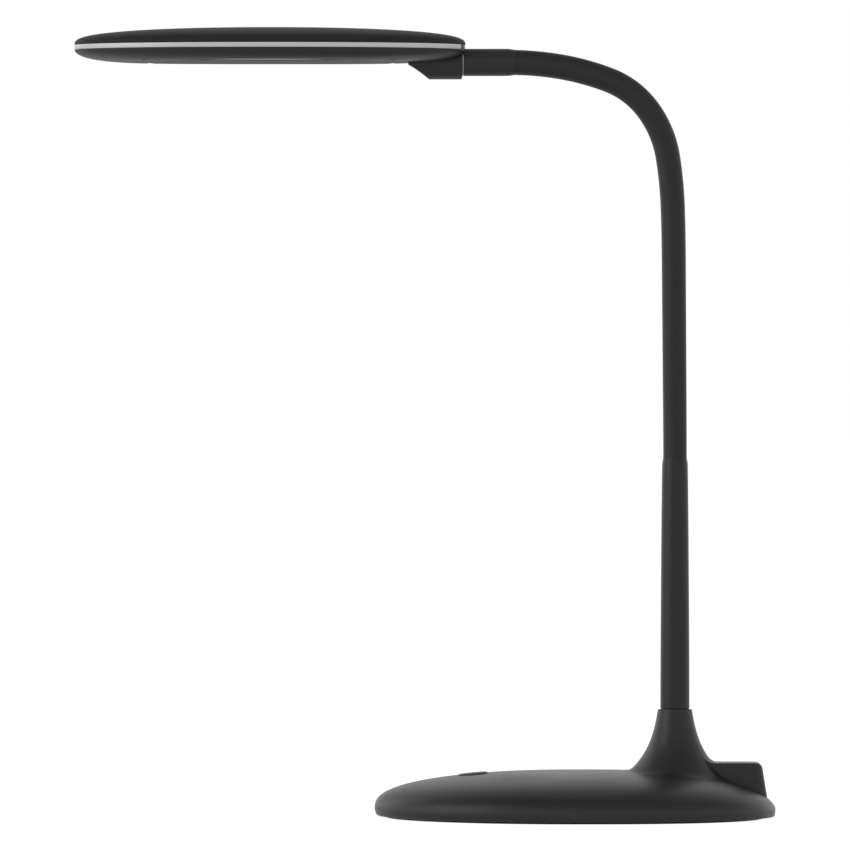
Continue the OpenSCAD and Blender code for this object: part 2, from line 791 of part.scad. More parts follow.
frame_top = head_z - trim_h / 2 - trim_gap;
cover_low = head_z + trim_h / 2 + trim_gap;
flange_z = frame_top - frame_drop + head_wall + 1.1;
window_steps = [0.76, 0.83, 0.89, 0.93, 0.96, 0.98, 0.992];
rim_band = 0.25;
// Where the screw bosses are, as a share of the outline, at their inner and outer edges
boss_t = pow(pow(head_boss_x / head_a, head_n) + pow(head_boss_y / head_b, head_n), 1 / head_n);
boss_t_out = boss_t + head_boss_r / head_a * 1.4;
frame_boss_z = frame_top - frame_drop * dome(boss_t_out, 4.4, 2.5) + 0.35;
head_screw_z = frame_top - 3.4;

module head_lower_frame() {
  color("#2d2d2e") difference() {
    union() {
      loft_loop(concat(
        [frame_ring(window, 0, frame_drop)],
        [for (t = window_steps) frame_ring(t, 0, frame_drop)],
        [head_ring(1, frame_top - rim_band), head_ring(1, frame_top), frame_ring(1, head_wall, 0)],
        [for (k = [len(window_steps) - 1 : -2 : 2]) frame_ring(window_steps[k], head_wall, frame_drop - head_wall)],
        [head_ring(window + window_lip + 0.03, flange_z - air), head_ring(window, flange_z - air)]
      ));
      // screw pillars, the seat of the arm housing, and the tongue that fills the gap in the trim ring
      at_head_bosses() translate([0, 0, frame_boss_z]) cylinder(h = frame_top - frame_boss_z, r = head_boss_r, $fn = 32);
      at_housing_screws() translate([-3.6, -4, -1.5]) cube([8, 8, 1.95]);
      translate([head_x, 0, frame_top - 0.2]) linear_extrude(trim_h + trim_gap + 0.2) intersection() {
        difference() {
          polygon(oval(head_a - 0.3, head_b - 0.3, head_n));
          polygon(oval(head_a - tongue_t, head_b - tongue_t, head_n));
        }
        translate([head_a - 8, -tongue_w / 2]) square([10, tongue_w]);
      }
    }
    // room for the arm collar and for the housing's boss
    at_tip() translate([0, 0, 10]) cylinder(h = collar_end + 1.6 - 10, r = collar_r + air + 0.1, $fn = 64);
    at_tip() translate([0, 0, collar_end - 2])
      cylinder(h = sleeve_boss_len + clip_room + 2, r = sleeve_boss_r + 0.1, $fn = 48);
    at_head_bosses() translate([0, 0, frame_boss_z - 5]) cylinder(h = 20, r = head_screw_r + 0.2, $fn = 24);
    at_head_bosses() translate([0, 0, head_screw_z - 5]) cylinder(h = 6 + 2 * seat, r = 2.4, $fn = 32);
    at_housing_screws() translate([0, 0, -20]) cylinder(h = 40, r = 1.2, $fn = 24);
  }
}

module trim_ring() {
  color("#b9b9b9") translate([head_x, 0, head_z - trim_h / 2]) linear_extrude(trim_h) difference() {
    polygon(oval(head_a, head_b, head_n));
    polygon(oval(head_a - trim_w, head_b - trim_w, head_n));
    translate([head_a - 8, -tongue_w / 2 - 0.05]) square([10, tongue_w + 0.1]);
  }
}

cover_steps = [0.996, 0.98, 0.95, 0.9, 0.82, 0.7, 0.55, 0.38, 0.2, 0.05];

module head_top_cover() {
  boss_top = cover_low + cover_rise * dome(boss_t_out, 2, cover_fullness) - 0.15;
  boss_low = board2_z + board2_t + seat;
  color("#2b2b2c") difference() {
    union() {
      loft(concat(
        [for (k = [len(cover_steps) - 1 : -1 : 1]) cover_ring(cover_steps[k], head_wall, cover_rise - head_wall)],
        [cover_ring(1, head_wall, 0), cover_ring(1, 0.3, 0), head_ring(1, cover_low + 0.3)],
        [for (t = cover_steps) cover_ring(t, 0, cover_rise)]
      ));
      at_head_bosses() translate([0, 0, boss_low]) cylinder(h = boss_top - boss_low, r = head_boss_r, $fn = 32);
    }
    at_head_bosses() translate([0, 0, cover_low - 1]) cylinder(h = 4.8, r = head_screw_r, $fn = 24);
  }
}

module led_board() {
  color("#d8d8d4") translate([head_x, 0, board2_z]) difference() {
    linear_extrude(board2_t) polygon(oval(head_a * 0.8, head_b * 0.8, head_n));
    for (x = [-head_boss_x, head_boss_x], y = [-head_boss_y, head_boss_y])
      translate([x, y, -1]) cylinder(h = 5, r = head_screw_r + 0.2, $fn = 24);
  }
}

chips = 20;

module led_chips() {
  color("#e8d98a") for (k = [0 : chips - 1])
    translate([
      head_x + head_a * 0.62 * cos(360 * (k + 0.5) / chips),
      head_b * 0.52 * sin(360 * (k + 0.5) / chips),
      board2_z - 0.8 - seat
    ]) translate([-1.75, -1.4, 0]) cube([3.5, 2.8, 0.8]);
}

module diffuser() {
  color("#efefec") loft([
    head_ring(0.05, frame_top - frame_drop + panel_set),
    head_ring(window - 0.02, frame_top - frame_drop + panel_set),
    head_ring(window - 0.004, frame_top - frame_drop + panel_set + 0.3),
    head_ring(window - 0.004, flange_z),
    head_ring(window + window_lip, flange_z),
    head_ring(window + window_lip, flange_z + 1)
  ]);
}

module head_screws() {
  color("#8b8c8e") at_head_bosses() translate([0, 0, head_screw_z])
    screw(head_screw_r - seat, cover_low + 1.4 - head_screw_z, 2.2, 1);
}

// ---------- arm housing ----------

module at_housing_screws() {
  for (y = [-6, 6]) translate([tip_x - collar_end - 24, y, frame_top - frame_drop + 3]) children();
}

// Height of the lower frame's underside over the arm's axis line
function frame_under(x) =
  frame_top - frame_drop * dome(min(1, abs(x - head_x) / head_a), frame_fullness(sign(x - head_x)), 2.5);

module arm_housing() {
  x1 = tip_x - collar_end;
  x0 = x1 - housing_len;
  slant_r = 56;
  color("#2a2a2b") difference() {
    union() {
      difference() {
        at_tip() translate([0, 0, collar_end]) rotate_extrude($fn = 96) intersection() {
          union() {
            square([housing_r - housing_round, housing_len]);
            translate([0, housing_round]) square([housing_r, housing_len - housing_round]);
            translate([housing_r - housing_round, housing_round]) circle(housing_round, $fn = 32);
          }
          translate([0, dome_s - collar_end]) circle(dome_r, $fn = 128);
        }
        translate([0, 20, 0]) rotate([90, 0, 0]) linear_extrude(40) polygon(concat(
          [for (x = [x0 - 1, x0 + 8, x0 + 14, x0 + 19, x0 + 23, x0 + 26, x1 + 2]) [x, frame_under(x) - 0.1]],
          [[x1 + 2, tip_z + 30], [x0 - 1, tip_z + 30]]
        ));
        translate([x1 - 55.7, 20, tip_z - 49.9]) rotate([90, 0, 0]) cylinder(h = 40, r = slant_r, $fn = 128);
      }
      intersection() {
        at_tip() translate([0, 0, collar_end]) cylinder(h = sleeve_boss_len, r = sleeve_boss_r, $fn = 48);
        at_dome() sphere(dome_r, $fn = 128);
      }
    }
    at_tip() translate([0, 0, collar_end - 2]) cylinder(h = sleeve_boss_len + 3, r = stem_r + run, $fn = 48);
    at_tip() translate([0, 0, collar_end + sleeve_boss_len]) cylinder(h = clip_room, r = clip_r + air, $fn = 48);
    at_housing_screws() translate([0, 0, -8]) cylinder(h = 10, r = 1, $fn = 24);
  }
}

module housing_screws() {
  color("#8b8c8e") at_housing_screws() mirror([0, 0, 1]) translate([0, 0, -1.5]) screw(0.95, 5, 2, 1);
}

// ---------- nodes ----------

base_shell();
bottom_cover();
anti_slip_pad();
weight_plate();
bottom_screws();
pole();
pole_nipple();
pole_washer();
pole_nut();
power_button();
switch_plunger();
tact_switch();
control_board();
board_screws();
power_jack();
jack_pin();
power_lead();
base_cable();
neck_cable();
neck_foot_link();  // neck_link_01
neck_link(1);  // neck_link_02
neck_link(2);  // neck_link_03
neck_link(3);  // neck_link_04
neck_link(4);  // neck_link_05
neck_link(5);  // neck_link_06
neck_link(6);  // neck_link_07
neck_link(7);  // neck_link_08
neck_link(8);  // neck_link_09
neck_tip_link();  // neck_link_10
neck_sleeve(0);  // neck_sleeve_01
neck_sleeve(1);  // neck_sleeve_02
neck_sleeve(2);  // neck_sleeve_03
neck_sleeve(3);  // neck_sleeve_04
neck_sleeve(4);  // neck_sleeve_05
neck_sleeve(5);  // neck_sleeve_06
neck_sleeve(6);  // neck_sleeve_07
neck_sleeve(7);  // neck_sleeve_08
neck_sleeve(8);  // neck_sleeve_09
neck_sleeve(9);  // neck_sleeve_10
arm_collar();
swivel_stem();
swivel_washer();
swivel_clip();
arm_housing();
housing_screws();
head_lower_frame();
trim_ring();
head_top_cover();
led_board();
led_chips();
diffuser();
head_screws();
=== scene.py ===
"""Gooseneck desk lamp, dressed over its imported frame. Metres, +Z up, the head reaches over -X."""
import json
import math

import bpy
import numpy as np
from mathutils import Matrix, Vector


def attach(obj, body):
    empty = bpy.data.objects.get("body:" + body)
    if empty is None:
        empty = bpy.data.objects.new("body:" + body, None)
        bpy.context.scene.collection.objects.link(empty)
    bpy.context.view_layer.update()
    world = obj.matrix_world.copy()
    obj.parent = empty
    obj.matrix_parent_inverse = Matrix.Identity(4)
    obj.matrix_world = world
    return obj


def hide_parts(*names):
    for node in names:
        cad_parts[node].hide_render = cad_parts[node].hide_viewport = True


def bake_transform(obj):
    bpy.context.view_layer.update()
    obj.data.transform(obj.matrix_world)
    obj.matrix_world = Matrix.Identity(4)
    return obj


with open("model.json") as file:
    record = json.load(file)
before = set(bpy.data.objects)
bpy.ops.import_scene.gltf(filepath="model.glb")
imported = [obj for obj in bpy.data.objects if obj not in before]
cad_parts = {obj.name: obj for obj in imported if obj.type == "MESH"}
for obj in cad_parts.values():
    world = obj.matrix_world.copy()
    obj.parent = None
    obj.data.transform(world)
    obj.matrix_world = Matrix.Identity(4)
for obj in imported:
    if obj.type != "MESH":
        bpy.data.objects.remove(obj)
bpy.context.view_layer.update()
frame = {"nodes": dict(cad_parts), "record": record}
MM = 0.001


# ---------- camera, light and floor ----------

CAMERA_PLACE, AIM_HEIGHT, LENS = (-0.075, -4.46, 0.2435), 0.196, 377.8
PLAIN_LIGHT, HORIZON_GLOW, OVERHEAD_GLOW = 0.58, 1.3, 0.33
FLOOR_GREY, FLOOR_GLOW, FLOOR_MIRRORED, FLOOR_THROUGH, FLOOR_SEEN = 0.22, 0.3, 0.66, 0.84, 0.9
LAMP_MIDDLE = (0, 0, 0.15)
# name, place, target, size, watts, and whether glossy surfaces mirror it
SOFT_BOXES = [
    ("top soft box", (-0.2, -0.5, 1.9), (0, 0, 0.1), (1.6, 1.6), 8, False),
    ("left soft box", (-1.9, -1.1, 0.9), LAMP_MIDDLE, (1.2, 1.6), 11, True),
    ("right soft box", (1.9, -1.1, 0.9), LAMP_MIDDLE, (1.2, 1.6), 7, False),
    ("back left soft box", (-1.6, 1.2, 0.9), LAMP_MIDDLE, (1.2, 1.6), 4, True),
    ("low left soft box", (-0.95, -0.25, 0.17), (0.05, 0, 0.1), (0.7, 0.3), 0.4, True),
]


def make_camera():
    """A long lens, level with the upper pole and square to the lamp's side."""
    data = bpy.data.cameras.new("camera")
    data.lens = LENS
    data.sensor_width = 36
    data.clip_end = 60
    camera = bpy.data.objects.new("camera", data)
    bpy.context.scene.collection.objects.link(camera)
    camera.location = CAMERA_PLACE
    drop = math.atan2(CAMERA_PLACE[2] - AIM_HEIGHT, -CAMERA_PLACE[1])
    camera.rotation_euler = (math.radians(90) - drop, 0, 0)
    bpy.context.scene.camera = camera


def hang_soft_box(name, place, target, size, power, mirrored):
    """A big soft box that faces the lamp."""
    data = bpy.data.lights.new(name, "AREA")
    data.shape = "RECTANGLE"
    data.size, data.size_y = size
    data.energy = power
    box = bpy.data.objects.new(name, data)
    bpy.context.scene.collection.objects.link(box)
    box.location = place
    box.rotation_euler = (Vector(target) - Vector(place)).to_track_quat("-Z", "Y").to_euler()
    box.visible_glossy = mirrored


def by_ray(tree, plain, choices):
    """A strength that depends on the kind of ray that asks for it.

    A choice is a kind and a number or socket, and the last choice that fits wins.
    """
    path = tree.nodes.new("ShaderNodeLightPath")
    strength = plain
    for kind, value in choices:
        choose = tree.nodes.new("ShaderNodeMix")
        tree.links.new(path.outputs[kind], choose.inputs["Factor"])
        for socket, given in (("A", strength), ("B", value)):
            if isinstance(given, float):
                choose.inputs[socket].default_value = given
            else:
                tree.links.new(given, choose.inputs[socket])
        strength = choose.outputs["Result"]
    return strength


def light_the_room():
    """Plain light from all round. Glossy surfaces mirror a bright horizon and a dimmer ceiling."""
    world = bpy.data.worlds.new("studio")
    bpy.context.scene.world = world
    world.use_nodes = True
    tree = world.node_tree
    background = tree.nodes["Background"]
    background.inputs["Color"].default_value = (1, 1, 1, 1)
    heading = tree.nodes.new("ShaderNodeTexCoord")
    parts = tree.nodes.new("ShaderNodeSeparateXYZ")
    tree.links.new(heading.outputs["Generated"], parts.inputs["Vector"])
    mirrored = tree.nodes.new("ShaderNodeMapRange")
    tree.links.new(parts.outputs["Z"], mirrored.inputs["Value"])
    mirrored.inputs["To Min"].default_value = HORIZON_GLOW
    mirrored.inputs["To Max"].default_value = OVERHEAD_GLOW
    strength = by_ray(tree, PLAIN_LIGHT, [("Is Glossy Ray", mirrored.outputs["Result"]),
                                          ("Is Transmission Ray", 1.0), ("Is Camera Ray", 1.0)])
    tree.links.new(strength, background.inputs["Strength"])
    for box in SOFT_BOXES:
        hang_soft_box(*box)


def make_floor():
    """A plain pale floor that keeps the lamp's shadow and looks white beyond it."""
    bpy.ops.object.select_all(action="DESELECT")
    bpy.ops.mesh.primitive_plane_add(size=30, location=(0, 0, 0))
    floor = bpy.context.active_object
    floor.name = "floor"
    paper = bpy.data.materials.new("floor paper")
    paper.use_nodes = True
    tree = paper.node_tree
    tree.nodes.clear()
    out = tree.nodes.new("ShaderNodeOutputMaterial")
    diffuse = tree.nodes.new("ShaderNodeBsdfDiffuse")
    diffuse.inputs["Color"].default_value = (FLOOR_GREY, FLOOR_GREY, FLOOR_GREY, 1)
    glow = tree.nodes.new("ShaderNodeEmission")
    strength = by_ray(tree, FLOOR_GLOW, [("Is Glossy Ray", FLOOR_MIRRORED),
                                         ("Is Transmission Ray", FLOOR_THROUGH),
                                         ("Is Camera Ray", FLOOR_SEEN)])
    tree.links.new(strength, glow.inputs["Strength"])
    both = tree.nodes.new("ShaderNodeAddShader")
    tree.links.new(diffuse.outputs[0], both.inputs[0])
    tree.links.new(glow.outputs[0], both.inputs[1])
    tree.links.new(both.outputs[0], out.inputs["Surface"])
    floor.data.materials.append(paper)


make_camera()
light_the_room()
make_floor()


# ---------- finishes ----------

CLOUDS_PER_METRE, CLOUD_DETAIL, GRAIN_DETAIL, ROUGH_SPREAD = 45, 5, 3, 0.05
MOULD_GRAIN = (0.5, 0.012)


def noise_on(tree, scale, detail):
    """A noise pattern that sticks to the piece; scale is in repeats per metre."""
    where = tree.nodes.new("ShaderNodeTexCoord")
    noise = tree.nodes.new("ShaderNodeTexNoise")
    noise.inputs["Scale"].default_value = scale
    noise.inputs["Detail"].default_value = detail
    tree.links.new(where.outputs["Object"], noise.inputs["Vector"])
    return noise.outputs["Fac"]


def cloud_the_colour(tree, shader, color, rough, tint):
    """Lets the colour wander by a share, tint, and the roughness by a little, in soft clouds."""
    cloud = noise_on(tree, CLOUDS_PER_METRE, CLOUD_DETAIL)
    ramp = tree.nodes.new("ShaderNodeValToRGB")
    for stop, place, share in zip(ramp.color_ramp.elements, (0.3, 0.7), (1 - tint, 1 + tint)):
        stop.position = place
        stop.color = (*[min(1, c * share) for c in color], 1)
    tree.links.new(cloud, ramp.inputs["Fac"])
    tree.links.new(ramp.outputs["Color"], shader.inputs["Base Color"])
    spread = tree.nodes.new("ShaderNodeMapRange")
    spread.inputs["To Min"].default_value = max(0.02, rough - ROUGH_SPREAD)
    spread.inputs["To Max"].default_value = min(1, rough + ROUGH_SPREAD)
    tree.links.new(cloud, spread.inputs["Value"])
    tree.links.new(spread.outputs["Result"], shader.inputs["Roughness"])


def finish_of(name, color, rough, tint, metallic=0.0, grain=None, specular=0.5):
    """A material with a fine surface; grain is its size and height in millimetres."""
    material = bpy.data.materials.new(name)
    material.use_nodes = True
    tree = material.node_tree
    shader = tree.nodes["Principled BSDF"]
    shader.inputs["Base Color"].default_value = (*color, 1)
    shader.inputs["Roughness"].default_value = rough
    shader.inputs["Metallic"].default_value = metallic
    shader.inputs["Specular IOR Level"].default_value = specular
    cloud_the_colour(tree, shader, color, rough, tint)
    if grain:
        size, height = grain
        bump = tree.nodes.new("ShaderNodeBump")
        bump.inputs["Strength"].default_value = 1
        bump.inputs["Distance"].default_value = height * MM
        tree.links.new(noise_on(tree, 1 / (size * MM), GRAIN_DETAIL), bump.inputs["Height"])
        tree.links.new(bump.outputs["Normal"], shader.inputs["Normal"])
    return material


def grey(value, blue=0.0):
    """A grey, with a little more or less blue in it."""
    return value, value, value + blue


matt_plastic = finish_of("fine matt black plastic", grey(0.0095, 0.0003), 0.66, 0.08,
                         grain=MOULD_GRAIN, specular=0.24)
satin_plastic = finish_of("satin black plastic", grey(0.011, 0.0003), 0.5, 0.08,
                          grain=MOULD_GRAIN, specular=0.36)
base_plastic = finish_of("soft-touch black plastic", grey(0.009, 0.0003), 0.41, 0.08,
                         grain=MOULD_GRAIN, specular=0.36)
black_coat = finish_of("black powder coat", grey(0.01, 0.0003), 0.4, 0.08,
                       grain=(0.7, 0.014), specular=0.3)
silicone = finish_of("black silicone", grey(0.0105, 0.0003), 0.5, 0.06,
                     grain=(0.3, 0.008), specular=0.3)
button_plastic = finish_of("button plastic", grey(0.014, 0.0005), 0.42, 0.05,
                           grain=(0.4, 0.008), specular=0.4)
silver_paint = finish_of("silver paint", grey(0.51), 0.48, 0.03, metallic=0.3, grain=(0.2, 0.004))
washer_nylon = finish_of("washer nylon", grey(0.8, -0.02), 0.45, 0.03)
opal_acrylic = finish_of("opal acrylic", grey(0.8, -0.01), 0.3, 0.02, grain=(0.8, 0.006))
coil_steel = finish_of("coil steel", grey(0.55, 0.01), 0.3, 0.1, metallic=1)
plate_steel = finish_of("rolled plate steel", grey(0.35, 0.01), 0.45, 0.15, metallic=1, grain=(0.6, 0.01))
zinc_steel = finish_of("zinc plated steel", grey(0.6, 0.02), 0.28, 0.08, metallic=1, grain=(0.3, 0.004))
pad_rubber = finish_of("foam rubber", grey(0.02), 0.85, 0.2, grain=(0.8, 0.05), specular=0.2)
jack_plastic = finish_of("jack plastic", grey(0.015), 0.35, 0.1)
circuit_board = finish_of("solder mask", (0.03, 0.1, 0.05), 0.3, 0.2)
white_board = finish_of("white solder mask", grey(0.78, -0.02), 0.4, 0.03)
led_resin = finish_of("phosphor resin", (0.8, 0.62, 0.2), 0.35, 0.1)
wire_jacket = finish_of("wire jacket", grey(0.45, -0.02), 0.5, 0.06)

FINISHES = {
    "black_plastic": satin_plastic, "button_plastic": button_plastic, "black_paint": black_coat,
    "silicone": silicone, "spring_steel": coil_steel, "raw_steel": plate_steel, "zinc_steel": zinc_steel,
    "pad_rubber": pad_rubber, "jack_plastic": jack_plastic, "circuit_board": circuit_board,
    "white_board": white_board, "led_resin": led_resin, "wire_jacket": wire_jacket,
    "silver_trim": silver_paint, "washer_nylon": washer_nylon, "frosted_acrylic": opal_acrylic,
}


def dress_frame():
    """Gives every piece of the frame the finish of its material slot."""
    for part in frame["record"]["subparts"]:
        node = frame["nodes"][part["node"]]
        node.data.materials.clear()
        node.data.materials.append(FINISHES[part["material_slot"]])


dress_frame()


# ---------- shapes that every piece is made with, in millimetres ----------

AROUND = 192
SEAM = 2e-6  # corners nearer than this, in metres, are merged


def turn_angles(count=AROUND):
    """One full turn in equal steps, with its start repeated at its end."""
    return np.linspace(0, 2 * math.pi, count + 1)


def level_ring(x, y, z):
    """A ring from its plan and its height, which may be one height for all of it."""
    return np.stack([x, y, np.broadcast_to(z, np.shape(x))], axis=1)


def signed_power(v, p):
    """A power that keeps the sign, for ovals that are squarer than an ellipse."""
    return np.sign(v) * np.abs(v) ** p


def edge_steps(low, high, count):
    """Shares of the way out, between two angles in degrees, that crowd together towards the edge."""
    return [math.sin(math.radians(v)) for v in np.linspace(low, high, count)]


def dome(t, m, q):
    """Rise of a dome from its edge, t = 1, to its crest, t = 0; m flattens the crest, q steepens the edge."""
    return np.maximum(0, 1 - np.abs(t) ** m) ** (1 / q)


def soft_max(a, b, reach):
    """The larger of two heights, with a fillet where they meet."""
    h = np.maximum(reach - np.abs(a - b), 0) / reach
    return np.maximum(a, b) + h * h * reach / 4


def skin(name, rings, finish, loop=False):
    """Wraps a sheet round a stack of closed rings and closes its seams; a loop ends where it began."""
    if loop:
        rings = rings + [rings[0]]
    points = np.array(rings)
    bpy.ops.object.select_all(action="DESELECT")
    bpy.ops.mesh.primitive_grid_add(x_subdivisions=points.shape[1] - 1,
                                    y_subdivisions=points.shape[0] - 1, size=1)
    piece = bpy.context.active_object
    piece.name = name
    piece.data.name = name
    piece.data.vertices.foreach_set("co", (points * MM).ravel())
    bpy.ops.object.mode_set(mode="EDIT")
    bpy.ops.mesh.select_all(action="SELECT")
    bpy.ops.mesh.remove_doubles(threshold=SEAM)
    bpy.ops.mesh.normals_make_consistent(inside=False)
    bpy.ops.object.mode_set(mode="OBJECT")
    piece.data.materials.append(finish)
    return piece


def lathe(name, profile, finish, at=(0, 0, 0), axis=(0, 0, 1), count=96):
    """Turns a closed profile of (radius, height) about an axis through a point."""
    angle = turn_angles(count)
    turn = Vector((0, 0, 1)).rotation_difference(Vector(axis)).to_matrix()
    rings = []
    for r, z in profile:
        ring = level_ring(r * np.cos(angle), r * np.sin(angle), z)
        rings.append(ring @ np.array(turn).T + np.array(at))
    return skin(name, rings, finish)


def pick(piece):
    """Selects one piece and nothing else."""
    bpy.ops.object.select_all(action="DESELECT")
    bpy.context.view_layer.objects.active = piece
    piece.select_set(True)


def carve(piece, tool, operation="DIFFERENCE"):
    """Cuts a tool away from a piece, or joins the two, and removes the tool."""
    pick(piece)
    cut = piece.modifiers.new("cut", "BOOLEAN")
    cut.operation = operation
    cut.solver = "EXACT"
    cut.object = tool
    bpy.ops.object.modifier_apply(modifier=cut.name)
    bpy.data.objects.remove(tool)
    bpy.ops.object.mode_set(mode="EDIT")
    bpy.ops.mesh.select_all(action="SELECT")
    bpy.ops.mesh.remove_doubles(threshold=SEAM)
    bpy.ops.object.mode_set(mode="OBJECT")


def box_tool(name, low, high):
    """A plain block to cut with, from corner to corner."""
    bpy.ops.object.select_all(action="DESELECT")
    middle = [(a + b) / 2 * MM for a, b in zip(low, high)]
    bpy.ops.mesh.primitive_cube_add(size=1, location=middle,
                                    scale=[(b - a) * MM for a, b in zip(low, high)])
    tool = bpy.context.active_object
    tool.name = name
    bpy.ops.object.transform_apply(location=True, rotation=True, scale=True)
    return tool


def smooth(piece, degrees=32):
    """Shades a piece smooth, but for edges sharper than an angle."""
    pick(piece)
    bpy.ops.object.shade_smooth_by_angle(angle=math.radians(degrees))


# ---------- base ----------

# the oval: half its length and width, then the crest of its dome, its rim, its belt and its walls
BASE_A, BASE_B = 100.2, 75.0
CREST_X, RIM_Z, BELT_Z, BASE_TOP = -10.0, 1.0, 4.6, 22.9
SIDE_WALL, TOP_WALL = 3.3, 2.2
# the pole, the cone that it stands in, and the ledge inside that it is pulled down on
POLE_X, POLE_R, POLE_LOW, POLE_TOP = 50.0, 7.25, 21.55, 179.5
CONE_TOP, CONE_R, CONE_FOOT_R, CONE_FOOT_Z = 53.8, 8.5, 22.9, 22.8
CONE_MOUTH_R, CONE_BORE_R, CONE_BLEND = 7.4, 8.0, 3.0
LEDGE_LOW, LEDGE_TOP, LEDGE_HOLE_R = 18.5, 21.5, 4.1
# the dome's rings start as a circle round the pole and are even from a share of the way out
ROUND_POLE_R, EVEN_REACH = 24.0, 0.93
# the housing of the power jack
PORT_HALF, PORT_TOP, PORT_BACK_LOW, PORT_BACK_TOP = 10.0, 27.3, 96.3, 93.2
PORT_FRONT, PORT_LOW, PORT_CORNER = POLE_X + 8, 8.0, 4.0
JACK_AT, JACK_R = (91.8, 0, 17), 3.95
# the button and the flat facet that it lies in
BUTTON_X, BUTTON_R, DISH_Z = -51.0, 7.5, 21.42
DISH_SLOPE = math.radians(5.3)
DISH_AXIS = (-math.sin(DISH_SLOPE), 0, math.cos(DISH_SLOPE))
# the cover and the pad below
COVER_TOP, PAD_TOP = 3.6, 1.55
COVER_SCREWS = [(x, y) for x in (-10, 62) for y in (-28, 28)]


def base_plan(angle, inset=0.0):
    """The base's plan: an ellipse in front, and squarer at the back, where the pole stands."""
    c, s = np.cos(angle), np.sin(angle)
    n = np.where(c > 0, 2.5, 2.0)
    return (BASE_A - inset) * signed_power(c, 2 / n), (BASE_B - inset) * signed_power(s, 2 / n)


def dome_height(x, y, inset=0.0):
    """Height of the base's dome over a point of its plan."""
    table = turn_angles(1440)
    px, py = base_plan(table, inset)
    heading = np.unwrap(np.arctan2(py, px - CREST_X))
    where = np.mod(np.arctan2(y, x - CREST_X), 2 * math.pi)
    angle = np.interp(where, heading - heading[0], table)
    ex, ey = base_plan(angle, inset)
    t = np.clip(np.hypot(x - CREST_X, y) / np.hypot(ex - CREST_X, ey), 0, 1)
    back = (1 + np.cos(angle)) / 2
    tail = np.maximum(0, np.cos(angle)) ** 3
    m = 2 + back + 1.4 * tail + 0.2 * np.sin(angle) ** 2
    return BELT_Z + (BASE_TOP - inset - BELT_Z) * dome(t, m, 2.6 - 0.4 * back - 0.75 * tail)


def cone_height(r):
    """Height of the cone at a radius, carried on below its foot."""
    steps = np.linspace(0, 1, 200)
    radii = CONE_R + (CONE_FOOT_R - CONE_R) * (0.38 * steps + 0.62 * steps ** 3)
    heights = CONE_TOP - steps * (CONE_TOP - CONE_FOOT_Z)
    slope = (heights[-1] - heights[-2]) / (radii[-1] - radii[-2])
    below = CONE_FOOT_Z + (r - CONE_FOOT_R) * slope
    return np.where(r > CONE_FOOT_R, below, np.interp(r, radii, heights))


def top_ring(x, y, inset):
    """A ring that lies on the base's top, where the cone rises from the dome with a fillet."""
    cone = cone_height(np.hypot(x - POLE_X, y) + inset)
    return level_ring(x, y, soft_max(cone, dome_height(x, y, inset), CONE_BLEND))


def round_pole(r, inset=0.0):
    """The plan of a circle about the pole, each point towards its own place on the base's edge."""
    px, py = base_plan(turn_angles(), inset)
    heading = np.arctan2(py, px - POLE_X)
    return POLE_X + r * np.cos(heading), r * np.sin(heading)


def cone_ring(r, inset=0.0):
    """A ring of the base's top at a radius from the pole."""
    return top_ring(*round_pole(r, inset), inset)


def dome_ring(reach, inset=0.0):
    """A ring of the base's top, a share of the way out from the pole to the edge."""
    px, py = base_plan(turn_angles(), inset)
    if reach > EVEN_REACH:
        return top_ring(CREST_X + reach * (px - CREST_X), reach * py, inset)
    share = reach / EVEN_REACH
    x0, y0 = round_pole(ROUND_POLE_R - inset, inset)
    x1, y1 = CREST_X + EVEN_REACH * (px - CREST_X), EVEN_REACH * py
    return top_ring(x0 + (x1 - x0) * share, y0 + (y1 - y0) * share, inset)


def bore_ring(r, z):
    """A level ring round the pole."""
    return level_ring(*round_pole(r), z)


def base_level(inset, z):
    """A level ring of the base's oval."""
    return level_ring(*base_plan(turn_angles(), inset), z)


def base_rim(lean, z):
    """A level ring below the belt, tucked in by lean at the front and less at the back."""
    return base_level(lean * (0.52 - 0.22 * np.cos(turn_angles())), z)


def housing_rings():
    """The housing's rings: mouth, cone, dome and rim outside, then the inside back up to the ledge."""
    rings = [bore_ring(CONE_MOUTH_R, 53.5), bore_ring(7.48, 53.72), bore_ring(7.6, CONE_TOP),
             bore_ring(7.95, CONE_TOP), bore_ring(8.2, 53.7), bore_ring(8.32, 53.45)]
    rings += [cone_ring(r) for r in (8.5, 8.75, 9.1, 9.5, 10, 10.6, 11.3, 12.1, *range(13, 25))]
    rings += [dome_ring(reach) for reach in np.linspace(0.02, EVEN_REACH, 40)]
    rings += [dome_ring(reach) for reach in edge_steps(70, 89.3, 14)]
    rings += [base_rim(lean, z) for lean, z in
              ((0, BELT_Z), (0.05, 4.0), (0.2, 3.3), (0.45, 2.6), (0.8, 1.95), (1.2, 1.45), (1.6, 1.13),
               (1.9, RIM_Z))]
    rings += [base_level(3.1, RIM_Z), base_level(SIDE_WALL, 1.2), base_level(SIDE_WALL, BELT_Z)]
    rings += [dome_ring(reach, SIDE_WALL) for reach in edge_steps(86, 70, 5)]
    rings += [dome_ring(reach, TOP_WALL) for reach in np.linspace(0.9, 0.02, 14)]
    rings += [cone_ring(r, TOP_WALL) for r in (20, 17, 14, 11.5, 9.5, 8.2)]
    return rings + [bore_ring(CONE_BORE_R, 40), bore_ring(CONE_BORE_R, LEDGE_LOW),
                    bore_ring(LEDGE_HOLE_R, LEDGE_LOW), bore_ring(LEDGE_HOLE_R, LEDGE_TOP),
                    bore_ring(CONE_MOUTH_R, LEDGE_TOP)]


